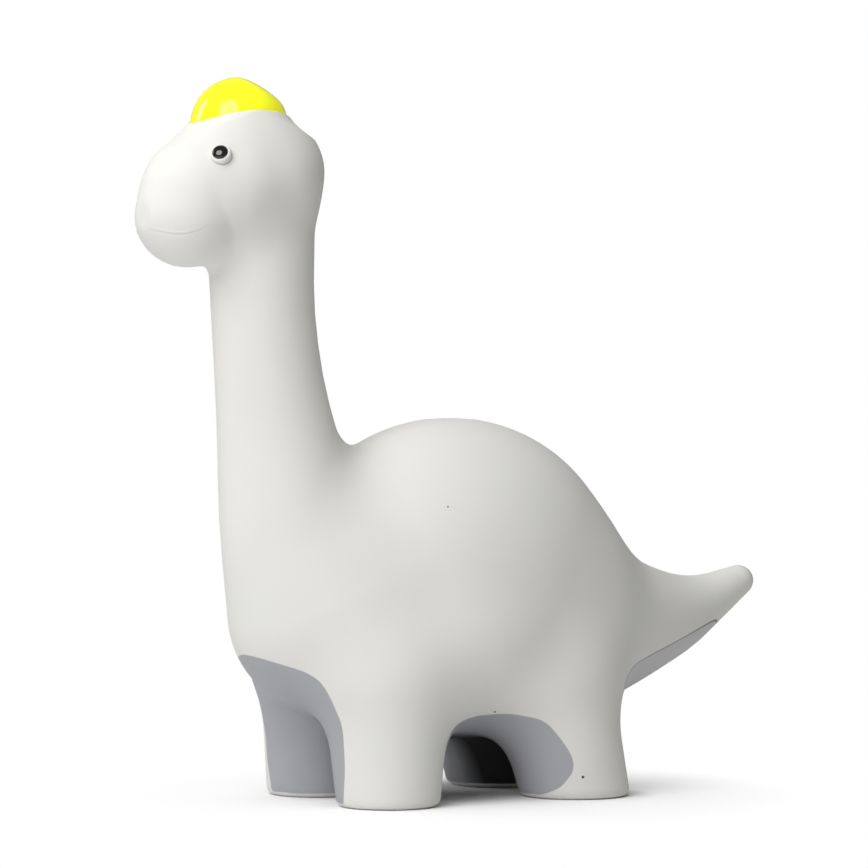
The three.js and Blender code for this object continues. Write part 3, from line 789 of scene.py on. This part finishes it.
def ball_material(settings):
    # The ball's emission is a painted glow, in the ball's own colour
    tree, shader, material = new_material(
        "glossy fluorescent ball", Roughness=0.07, Specular_IOR_Level=0.6, Subsurface_Weight=0.3,
        Subsurface_Scale=4 * MM, Emission_Strength=settings.painted_glow)
    shader.inputs["Subsurface Radius"].default_value = BALL_LIGHT_REACH
    grain, mottle = surface_grain(tree, *BALL_GRAIN)
    colour = settings.colour[:]
    mix = mixed(tree, mottle, colour, darker(colour, BALL_SHADE))
    tree.links.new(mix, shader.inputs["Base Color"])
    shader.inputs["Emission Color"].default_value = (*colour, 1)
    bump(tree, shader, grain, distance=0.02 * MM, strength=0.15)
    return material


def plastic_material(name, colour, roughness, grain_depth=0.01 * MM, mirror=0.5):
    tree, shader, material = new_material(name, Roughness=roughness, Specular_IOR_Level=mirror)
    grain, mottle = surface_grain(tree, *PLASTIC_GRAIN)
    tree.links.new(mixed(tree, mottle, colour, darker(colour, 0.93)), shader.inputs["Base Color"])
    bump(tree, shader, grain, grain_depth, strength=0.5)
    return material


ROLLING_STREAKS = (9000, 300, 300)


def brass_material(colour):
    tree, shader, material = new_material("rolled brass", Metallic=1, Roughness=0.3)
    stretch = node(tree, "ShaderNodeMapping", Scale=ROLLING_STREAKS)
    tree.links.new(own_place(tree), stretch.inputs["Vector"])
    streaks = node(tree, "ShaderNodeTexNoise", Scale=1, Detail=2)
    tree.links.new(stretch.outputs["Vector"], streaks.inputs["Vector"])
    streak = streaks.outputs["Fac"]
    tree.links.new(mixed(tree, streak, colour, darker(colour, 0.8)), shader.inputs["Base Color"])
    roughness = map_range(tree, streak, 0, 1, to_low=0.22, to_high=0.4)
    tree.links.new(roughness, shader.inputs["Roughness"])
    return material


def fibre_material(colour):
    tree, shader, material = new_material("loose fibre", Roughness=0.95, Sheen_Weight=0.4)
    grain, mottle = surface_grain(tree, *FIBRE_GRAIN)
    tree.links.new(mixed(tree, mottle, colour, darker(colour, 0.8)), shader.inputs["Base Color"])
    bump(tree, shader, grain, distance=0.3 * MM)
    return material


class TOYDINO_OT_stage(bpy.types.Operator):
    """Makes the camera, the floor, the lamps and the room's light"""

    bl_idname = "toy_dinosaur.make_stage"
    bl_label = "Make Stage"

    def execute(self, context):
        settings = context.scene.toy_dinosaur_stage
        make_camera(settings)
        make_floor()
        make_lamps(settings)
        make_room_light(settings)
        return {"FINISHED"}


def camera_axes(settings):
    """Towards the camera, and to the right in its picture."""
    azimuth = settings.camera_azimuth
    sine, cosine = math.sin(azimuth), math.cos(azimuth)
    return Vector((sine, -cosine, 0)), Vector((cosine, sine, 0))


SENSOR_WIDTH = 36


def make_camera(settings):
    towards, right = camera_axes(settings)
    data = bpy.data.cameras.new("photo camera")
    data.sensor_width = SENSOR_WIDTH
    data.lens = settings.lens
    camera = added("photo camera", data)
    place = FEET_MIDDLE + settings.camera_distance * towards - settings.camera_offset * right
    place.z = settings.camera_height
    camera.location = place
    camera.rotation_euler = (math.pi / 2, 0, settings.camera_azimuth)
    bpy.context.scene.camera = camera


FLOOR_SIZE = 8
# The floor turns white between these distances from the toy's middle, and stays itself by the soles
WHITE_NEAR, WHITE_FAR = 18 * MM, 95 * MM
CONTACT_WIDTH = 8 * MM
FLOOR_SEEN, FLOOR_GIVEN_BACK = (1, 1, 1), (0.85, 0.85, 0.85)


def make_floor():
    """A pale floor that keeps the toy's shadow near it and is white further out."""
    bm = bmesh.new()
    bmesh.ops.create_grid(bm, x_segments=1, y_segments=1, size=FLOOR_SIZE / 2)
    floor = added("floor", mesh_of(bm, "floor"))
    tree, shader, material = new_material("white floor", Roughness=1, Specular_IOR_Level=0)
    place = own_place(tree)
    white = map_range(tree, away_from(tree, place, (0, 0, 0)), WHITE_NEAR, WHITE_FAR)
    for (foot, radius), side in itertools.product((FRONT_LEG[1], REAR_LEG[1]), (-1, 1)):
        beside = away_from(tree, place, (side * foot[0], foot[1] + FEET_MIDDLE.y, 0))
        shade = map_range(tree, beside, radius, radius + CONTACT_WIDTH)
        white = math_node(tree, "MULTIPLY", white, shade)
    seen = seen_directly(tree)
    tree.links.new(mixed(tree, seen, FLOOR_GIVEN_BACK, FLOOR_SEEN), shader.inputs["Base Color"])
    emission = node(tree, "ShaderNodeEmission", Strength=1)
    mix = node(tree, "ShaderNodeMixShader")
    tree.links.new(math_node(tree, "MULTIPLY", white, seen), mix.inputs["Fac"])
    tree.links.new(shader.outputs["BSDF"], mix.inputs[1])
    tree.links.new(emission.outputs["Emission"], mix.inputs[2])
    tree.links.new(mix.outputs["Shader"], tree.nodes["Material Output"].inputs["Surface"])
    floor.data.materials.append(material)


LAMP_TARGET_SHARE = 0.45
LAMP_REACH = 1.1
# Each lamp's direction to the right, up and towards the camera, its width and height, its power's
# setting and whether glossy surfaces mirror it
LAMPS = {
    "key lamp": ((-0.864, 0.42, -0.28), (0.32, 0.62), "key_power", True),
    "top lamp": ((-0.2, 1, 0.2), (0.9, 0.9), "top_power", False),
    "front lamp": ((-0.37, 0.61, 0.69), (0.8, 0.8), "front_power", True),
    "side lamp": ((-0.8, 0.5, 1), (0.9, 0.9), "side_power", False),
}


def make_lamps(settings):
    """Soft oval lamps that look at the toy."""
    towards, right = camera_axes(settings)
    target = Vector((0, 0, CAD_HIGH.z * LAMP_TARGET_SHARE))
    for name, ((across, up, near), (width, height), power, mirrored_too) in LAMPS.items():
        data = bpy.data.lights.new(name, "AREA")
        data.shape = "ELLIPSE"
        data.size, data.size_y = width, height
        data.energy = getattr(settings, power)
        lamp = added(name, data)
        direction = across * right + up * UPWARDS + near * towards
        lamp.location = target + LAMP_REACH * direction.normalized()
        lamp.rotation_euler = (target - lamp.location).to_track_quat("-Z", "Y").to_euler()
        lamp.visible_glossy = mirrored_too


def make_room_light(settings):
    world = bpy.data.worlds.new("room")
    world.use_nodes = True
    bpy.context.scene.world = world
    tree = world.node_tree
    background = tree.nodes["Background"]
    background.inputs["Color"].default_value = (1, 1, 1, 1)
    strength = map_range(tree, seen_directly(tree), 0, 1, settings.ambient, 1)
    tree.links.new(strength, background.inputs["Strength"])
    bpy.context.scene.view_settings.view_transform = "Standard"


class TOYDINO_OT_skin(bpy.types.Operator):
    """Makes the moulded rubber skin"""

    bl_idname = "toy_dinosaur.make_skin"
    bl_label = "Make Skin"

    def execute(self, context):
        settings = context.scene.toy_dinosaur_skin
        bm = remeshed(joined([merged_copy("body_skin"), *skin_fillers()]), settings.mesh_step)
        shape_skin(bm, settings)
        bm = cut(bm, skin_cutters(settings))
        mark_paint(bm)
        finished(bm, "rubber_skin", "figure", ["body_skin"],
                 rubber_material(settings), SHARP_ANGLE)
        return {"FINISHED"}


# The last zone marks the strip of painted shade under the belly
PAINT_ZONES = {"paint_inside": paint_inside, "tail_inside": tail_paint, "belly_inside": belly_inside}


def mark_paint(bm):
    """Writes how far inside each painted zone the vertices lie, for the material."""
    points = points_of(bm.verts) - FEET_ORIGIN
    for name, zone in PAINT_ZONES.items():
        layer = bm.verts.layers.float.new(name)
        for vert, value in zip(bm.verts, zone(points)):
            vert[layer] = value


# Heights and widths of the squeaker's pocket, and of the channel kept open while it is filled
POCKET_FLOOR = BELLY_CLEARANCE + MOUTH_LIP
POCKET_TOP = SQUEAKER_HIGH.z + POCKET_CLEARANCE
POCKET_RADIUS = SQUEAKER_HIGH.x + POCKET_CLEARANCE
CHANNEL_RADIUS = 5.5 * MM
SOCKET_RADIUS = BALL_RADIUS + CUP_CLEARANCE
EYE_GAP = 0.05 * MM
SEAT_RADIUS = EYE_RADIUS + EYE_GAP
FILLER_MARGIN = 1 * MM
CUT_MARGIN = 4 * MM
CUT_STEPS, PLUG_ARC_STEPS, CUP_ARC_STEPS = 144, 24, 28
# How far from the cup's wall a vertex may be and still count as on it
WALL_TOLERANCE = 0.01 * MM


def skin_fillers():
    """Plugs for the solid's coarse cup, pocket and eye seats, which are cut again finely."""
    half = SOCKET_RADIUS + FILLER_MARGIN / 2
    fillers = [turned(arc((0, 0), half, -90, 90, PLUG_ARC_STEPS), BALL_CENTRE)]
    low, high = POCKET_FLOOR - FILLER_MARGIN, POCKET_TOP
    near, wide = CHANNEL_RADIUS, POCKET_RADIUS + FILLER_MARGIN
    ring = [(near, low), (wide, low), (wide, high), (near, high), (near, low)]
    fillers.append(turned(ring, SQUEAKER_AXIS))
    deep, wide = EYE_SEAT_DEPTH + FILLER_MARGIN / 2, EYE_RADIUS + FILLER_MARGIN
    for place, looks in EYES.values():
        fillers.append(turned([(0, -deep), (wide, -deep), (wide, 0), (0, 0)], place, looks))
    return fillers


# The lip in the turned profile, rounded where it meets the ball and falling away outside, each
# point out from the cup's wall and up from the lip's height, and how far the lip drops in its saddle
LIP_PROFILE = ((0, -0.35), (0.04, -0.2), (0.12, -0.1), (0.25, -0.04), (0.4, -0.1), (0.6, -0.3),
               (1.2, -1.15), (2, -2.1), (3.2, -3.2), (4.7, -4.4), (7.5, -6.5), (11.5, -9.3))
LIP_FRONT_DROP, LIP_BACK_DROP = 3 * MM, 1.4 * MM


def crown_cutter(lip_height):
    """The ball's room, open upwards, with the saddle of the lip round it."""
    profile = arc((0, 0), SOCKET_RADIUS, -90, 0, CUP_ARC_STEPS)
    profile += [(SOCKET_RADIUS + out * MM, lip_height + up * MM) for out, up in LIP_PROFILE]
    profile += [(profile[-1][0], 2 * BALL_RADIUS), (0, 2 * BALL_RADIUS)]
    bm = turned(profile, Vector(), steps=CUT_STEPS)
    for vert in bm.verts:
        reach = math.hypot(vert.co.x, vert.co.y)
        beside_cup = reach > SOCKET_RADIUS + WALL_TOLERANCE
        if beside_cup or vert.co.z > 0 and reach > SOCKET_RADIUS - WALL_TOLERANCE:
            along = vert.co.y / reach
            vert.co.z -= (LIP_FRONT_DROP if along < 0 else LIP_BACK_DROP) * along ** 2
    bmesh.ops.translate(bm, verts=bm.verts[:], vec=BALL_CENTRE)
    return bm


def skin_cutters(settings):
    top = POCKET_TOP + CUT_MARGIN
    mouth = [(0, -CUT_MARGIN), (MOUTH_RADIUS, -CUT_MARGIN), (MOUTH_RADIUS, POCKET_FLOOR)]
    mouth += [(POCKET_RADIUS, POCKET_FLOOR), (POCKET_RADIUS, top), (0, top)]
    seat = [(0, -EYE_SEAT_DEPTH), (SEAT_RADIUS, -EYE_SEAT_DEPTH), (SEAT_RADIUS, CUT_MARGIN), (0, CUT_MARGIN)]
    cutters = [crown_cutter(settings.lip_height), turned(mouth, SQUEAKER_AXIS, steps=CUT_STEPS)]
    return cutters + [turned(seat, place, looks) for place, looks in EYES.values()]


SETTLE_REACH = 1.25 * MM
SETTLE_ROUNDS = 4
# The solid's own cut over the crown, from the ball's axis and up from its middle
CROWN_CUT_OUT = np.array((13.9, 15.5, 25.5)) * MM
CROWN_CUT_UP = np.array((2.4, 0.2, -7.4)) * MM
CROWN_MARGIN = 1.7 * MM


def outer_verts(bm, distance):
    """The vertices of the outside: the cavity's lie deeper than any facet of the outside."""
    verts = bm.verts[:]
    points = points_of(verts)
    near = np.abs(distance(points)) < SETTLE_REACH
    near |= np.abs(to_body(points - FEET_ORIGIN, jaw_filled=False)) < SETTLE_REACH
    from_ball = points - np.array(BALL_CENTRE)
    crown_cut = np.interp(np.hypot(from_ball[:, 0], from_ball[:, 1]), CROWN_CUT_OUT, CROWN_CUT_UP)
    near |= from_ball[:, UP] > crown_cut - CROWN_MARGIN
    from_axis = np.linalg.norm(points[:, :UP] - np.array(SQUEAKER_AXIS)[:UP], axis=1)
    near &= from_axis > CHANNEL_RADIUS + FILLER_MARGIN
    return [vert for vert, chosen in zip(verts, near) if chosen]


def refine(bm, near, cuts):
    """Splits the faces of a zone."""
    points = np.array([face.calc_center_median() for face in bm.faces]) - FEET_ORIGIN
    edges = {edge for face, wanted in zip(bm.faces[:], near(points)) if wanted for edge in face.edges}
    bmesh.ops.subdivide_edges(bm, edges=list(edges), cuts=cuts, use_grid_fill=True)


# How far the fine zones reach: in widths of the smile or of the patch's edge, up from the ball's
# middle, out from its axis, and in radii of the eye
ZONE_WIDTHS = 4
LIP_ZONE_UP, LIP_ZONE_OUT = (-1 * MM, 6 * MM), (11 * MM, 19 * MM)
EYE_ZONE_RADII = 1.5


def between(values, low, high):
    return (values > low) & (values < high)


def near_smile(points):
    close = np.abs(above_smile(points)) < ZONE_WIDTHS * SMILE_WIDTH
    return close & (points[:, 1] < SMILE_ENDS) & (np.abs(points[:, 0]) > SMILE_FROM - SMILE_WIDTH)


def near_patch_edge(points):
    sunk = between(points[:, 1], PATCH_FADES[0], PATCH_FADES[-1])
    return sunk & (np.abs(tail_paint(points)) < ZONE_WIDTHS * PATCH_EDGE)


def near_lip(points):
    from_ball = points + FEET_ORIGIN - np.array(BALL_CENTRE)
    out = np.hypot(from_ball[:, 0], from_ball[:, 1])
    return between(from_ball[:, UP], *LIP_ZONE_UP) & between(out, *LIP_ZONE_OUT)


def near_eyes(points):
    world = points + FEET_ORIGIN
    away = [np.linalg.norm(world - np.array(place), axis=1) for place, _ in EYES.values()]
    return np.min(away, axis=0) < EYE_ZONE_RADII * EYE_RADIUS


FINE_ZONES = ((near_smile, 4), (near_patch_edge, 2), (near_lip, 2), (near_eyes, 2))


def shape_skin(bm, settings):
    """Settles the outside's vertices, splits the fine zones and keeps all inside the solid's box."""
    def distance(points):
        return to_outside(points, settings)

    outer = outer_verts(bm, distance)
    for _ in range(SETTLE_ROUNDS):
        settle(outer, distance)
        evened(bm, outer)
    settle(outer, distance, LAST_PASSES)
    for near, cuts in FINE_ZONES:
        refine(bm, near, cuts)
    settle(outer_verts(bm, distance), distance, LAST_PASSES)
    for vert, place in zip(bm.verts, np.clip(points_of(bm.verts), CAD_LOW, CAD_HIGH)):
        vert.co = place


class TOYDINO_OT_ball(bpy.types.Operator):
    """Makes the ball that sits in the crown"""

    bl_idname = "toy_dinosaur.make_ball"
    bl_label = "Make Ball"

    def execute(self, context):
        settings = context.scene.toy_dinosaur_ball
        bm = bmesh.new()
        bmesh.ops.create_uvsphere(bm, u_segments=BALL_SEGMENTS, v_segments=BALL_RINGS, radius=BALL_RADIUS)
        wear_ball(bm, settings)
        bmesh.ops.translate(bm, verts=bm.verts[:], vec=BALL_CENTRE)
        finished(bm, "crown_ball_shell", "ball", ["crown_ball"], ball_material(settings))
        return {"FINISHED"}


BALL_FLAT_TOWARDS = Vector((0.27, 0.46, 0.85)).normalized()
BALL_SEAM_DEPTH, BALL_SEAM_WIDTH = 0.06 * MM, 0.35 * MM
BALL_FLAT_BLEND = 2.4 * MM
BALL_SEGMENTS, BALL_RINGS = 128, 80
LEAST_FACING = 0.01


def wear_ball(bm, settings):
    """Draws in the ball's flat, and the seam round its middle where its halves were joined."""
    flat_height = settings.flat_share * BALL_RADIUS
    for vert in bm.verts:
        direction = vert.co.normalized()
        facing = max(direction.dot(BALL_FLAT_TOWARDS), LEAST_FACING)
        radius = float(soft_union(np.array(BALL_RADIUS), np.array(flat_height / facing), BALL_FLAT_BLEND))
        seam = BALL_SEAM_DEPTH * math.exp(-(vert.co.z / BALL_SEAM_WIDTH) ** 2)
        vert.co = direction * (radius - seam)


class TOYDINO_OT_eyes(bpy.types.Operator):
    """Makes both eyes, each a bead with a glossy pupil"""

    bl_idname = "toy_dinosaur.make_eyes"
    bl_label = "Make Eyes"

    def execute(self, context):
        settings = context.scene.toy_dinosaur_eyes
        bead_material = plastic_material("matte white bead", settings.bead_colour[:], 0.45)
        pupil_material = plastic_material("glossy black pupil", settings.pupil_colour[:], 0.12, 0.002 * MM, 1)
        for name, (place, looks) in EYES.items():
            bead = turned(bead_profile(), place, looks)
            finished(bead, f"eye_white_{name}", "figure", [f"eye_bead_{name}"], bead_material)
            pupil = turned(pupil_profile(), place, looks)
            finished(pupil, f"eye_black_{name}", "figure", [f"eye_pupil_{name}"], pupil_material)
        return {"FINISHED"}


BEAD_EDGE_STEPS, PUPIL_STEPS = 10, 16


def bead_profile():
    """From the axis at the seat, out and up round the bead's edge, to the pupil's hollow."""
    low = -EYE_SEAT_DEPTH + EYE_GAP
    rounding = EYE_RISE - EYE_EDGE_RISE
    sink_radius = PUPIL_RADIUS + EYE_GAP
    floor = EYE_RISE - PUPIL_SINK
    profile = [(0, low), (EYE_RADIUS - EYE_GAP, low), (EYE_RADIUS, low + EYE_GAP)]
    profile += arc((EYE_RADIUS - rounding, EYE_EDGE_RISE), rounding, 0, 90, BEAD_EDGE_STEPS)
    return profile + [(sink_radius, EYE_RISE - EYE_GAP), (sink_radius, floor), (0, floor)]


def pupil_profile():
    low = EYE_RISE - PUPIL_SINK + EYE_GAP
    angles = [math.radians(90 * step / PUPIL_STEPS) for step in range(PUPIL_STEPS)]
    dome = [(PUPIL_RADIUS * math.cos(a), EYE_RISE + PUPIL_RISE * math.sin(a)) for a in angles]
    edge = [(0, low), (PUPIL_RADIUS - EYE_GAP, low), (PUPIL_RADIUS, low + EYE_GAP)]
    return edge + dome + [(0, EYE_RISE + PUPIL_RISE)]


class TOYDINO_OT_squeaker(bpy.types.Operator):
    """Makes the squeaker's plastic pieces and gives its reed a finish"""

    bl_idname = "toy_dinosaur.make_squeaker"
    bl_label = "Make Squeaker"

    def execute(self, context):
        settings = context.scene.toy_dinosaur_squeaker
        plastic = plastic_material("satin squeaker plastic", settings.plastic_colour[:], 0.4)
        for part in ("housing", "grille", "reed_block", "reed_clamp"):
            bm = softened_copy(f"squeaker_{part}", settings.edge_rounding)
            finished(bm, f"squeaker_{part}_moulded", "figure",
                     [f"squeaker_{part}"], plastic, SHARP_ANGLE)
        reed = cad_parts["squeaker_reed"]
        reed.data.materials.clear()
        reed.data.materials.append(brass_material(settings.brass_colour[:]))
        return {"FINISHED"}


FLAT_ANGLE, CORNER_ANGLE = math.radians(3), math.radians(60)
CORNER_STEPS = 2


def softened_copy(node_name, rounding):
    """A solid's own shape with its sharp edges rounded."""
    bm = merged_copy(node_name)
    bmesh.ops.dissolve_limit(bm, angle_limit=FLAT_ANGLE, verts=bm.verts[:], edges=bm.edges[:])
    sharp = [edge for edge in bm.edges if edge.is_manifold and edge.calc_face_angle(0) > CORNER_ANGLE]
    bmesh.ops.bevel(bm, geom=sharp, offset=rounding, offset_type="OFFSET", segments=CORNER_STEPS,
                    profile=0.5, affect="EDGES", clamp_overlap=True, material=-1)
    return bm


class TOYDINO_OT_filling(bpy.types.Operator):
    """Makes the wads of fibre inside the skin"""

    bl_idname = "toy_dinosaur.make_filling"
    bl_label = "Make Filling"

    def execute(self, context):
        settings = context.scene.toy_dinosaur_filling
        material = fibre_material(settings.colour[:])
        for name in sorted(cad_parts):
            if name.startswith("fibre_"):
                bm = tufted_copy(name, settings.tuft_depth)
                finished(bm, name.replace("fibre_", "wad_"), "figure", [name], material)
        return {"FINISHED"}


WAD_STEP = 2.5 * MM
TUFT_SCALE = 9 * MM
TUFT_LEVEL, TUFT_SWING = 0.6, 0.4


def tufted_copy(node_name, depth):
    """A wad's own shape with the hollows of loose fibre drawn inwards."""
    bm = remeshed(merged_copy(node_name), WAD_STEP)
    evened(bm, bm.verts[:])
    bm.normal_update()
    for vert in bm.verts:
        share = TUFT_LEVEL + TUFT_SWING * noise.noise(vert.co / TUFT_SCALE)
        vert.co -= vert.normal * depth * share
    return bm


class TOYDINO_PT_panel(bpy.types.Panel):
    """Lists the pieces and their settings"""

    bl_idname = "TOYDINO_PT_panel"
    bl_label = "Toy Dinosaur"
    bl_space_type = "VIEW_3D"
    bl_region_type = "UI"
    bl_category = "Toy Dinosaur"

    def draw(self, context):
        for operator, name, _ in STEPS:
            box = self.layout.box()
            box.operator(operator.bl_idname)
            settings = getattr(context.scene, name)
            for key in settings.__annotations__:
                box.prop(settings, key)


STEPS = (
    (TOYDINO_OT_stage, "toy_dinosaur_stage", StageSettings),
    (TOYDINO_OT_skin, "toy_dinosaur_skin", SkinSettings),
    (TOYDINO_OT_ball, "toy_dinosaur_ball", BallSettings),
    (TOYDINO_OT_eyes, "toy_dinosaur_eyes", EyeSettings),
    (TOYDINO_OT_squeaker, "toy_dinosaur_squeaker", SqueakerSettings),
    (TOYDINO_OT_filling, "toy_dinosaur_filling", FillingSettings),
)


def register():
    for operator, name, group in STEPS:
        bpy.utils.register_class(group)
        bpy.utils.register_class(operator)
        setattr(bpy.types.Scene, name, bpy.props.PointerProperty(type=group))
    bpy.utils.register_class(TOYDINO_PT_panel)


def unregister():
    bpy.utils.unregister_class(TOYDINO_PT_panel)
    for operator, name, group in reversed(STEPS):
        delattr(bpy.types.Scene, name)
        bpy.utils.unregister_class(operator)
        bpy.utils.unregister_class(group)


def main():
    register()
    bpy.ops.toy_dinosaur.make_stage()
    bpy.ops.toy_dinosaur.make_skin()
    bpy.ops.toy_dinosaur.make_ball()
    bpy.ops.toy_dinosaur.make_eyes()
    bpy.ops.toy_dinosaur.make_squeaker()
    bpy.ops.toy_dinosaur.make_filling()


if __name__ == "__main__":
    main()
